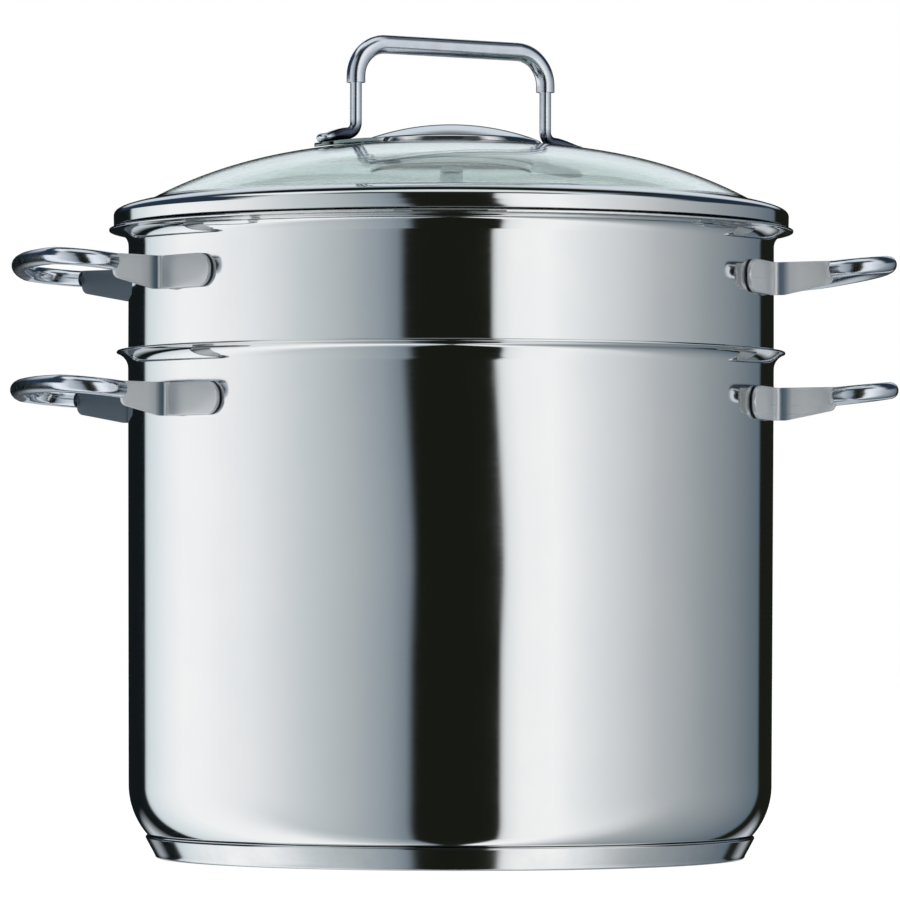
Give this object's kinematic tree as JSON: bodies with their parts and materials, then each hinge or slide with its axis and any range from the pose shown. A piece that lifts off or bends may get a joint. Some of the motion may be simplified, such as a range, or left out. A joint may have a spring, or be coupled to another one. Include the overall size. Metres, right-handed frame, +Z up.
{
  "type": "stainless steel pot",
  "caption": "Tall stainless steel cooking pot with loop handles, a lift-out perforated strainer insert, and a domed glass lid with a steel rim and a bent tube handle.",
  "frame": {"origin": "centre of the underside of the base, on the surface that the pot stands on", "axes": "+Z up along the axis of the vessel; the loop handles lie along X, and +Y is the back in the picture"},
  "size_m": [0.3288, 0.2566, 0.3072],
  "materials": {
    "polished_steel": "mirror polished stainless steel",
    "steel_tube": "polished stainless steel tube and rod",
    "base_steel": "polished side and fine turned underside",
    "core_aluminium": "as rolled, sealed in",
    "glass": "clear toughened glass with a faint green tint",
    "clear_silicone": "translucent silicone"
  },
  "bodies": {
    "pot": {"pot_body": "polished_steel", "base_core": "core_aluminium", "base_cap": "base_steel", "pot_bracket_left_front": "polished_steel", "pot_bracket_left_back": "polished_steel", "pot_bracket_right_front": "polished_steel", "pot_bracket_right_back": "polished_steel", "pot_grip_left": "steel_tube", "pot_grip_right": "steel_tube"},
    "insert": {"insert_body": "polished_steel", "insert_bracket_left_front": "polished_steel", "insert_bracket_left_back": "polished_steel", "insert_bracket_right_front": "polished_steel", "insert_bracket_right_back": "polished_steel", "insert_grip_left": "steel_tube", "insert_grip_right": "steel_tube"},
    "lid": {"lid_glass": "glass", "lid_rim": "polished_steel", "lid_bedding": "clear_silicone", "lid_strap": "polished_steel", "lid_cap": "polished_steel", "lid_cup": "polished_steel", "lid_seal_ring": "clear_silicone", "lid_stud": "steel_tube", "lid_nut": "steel_tube", "lid_leg_front": "steel_tube", "lid_leg_back": "steel_tube", "lid_grip": "steel_tube"}
  },
  "joints": [
    {"name": "insert_lift", "type": "slide", "parent": "pot", "child": "insert", "axis": [0, 0, 1], "range_m": [0, 0.18]},
    {"name": "lid_lift", "type": "slide", "parent": "insert", "child": "lid", "axis": [0, 0, 1], "range_m": [0, 0.1]}
  ]
}
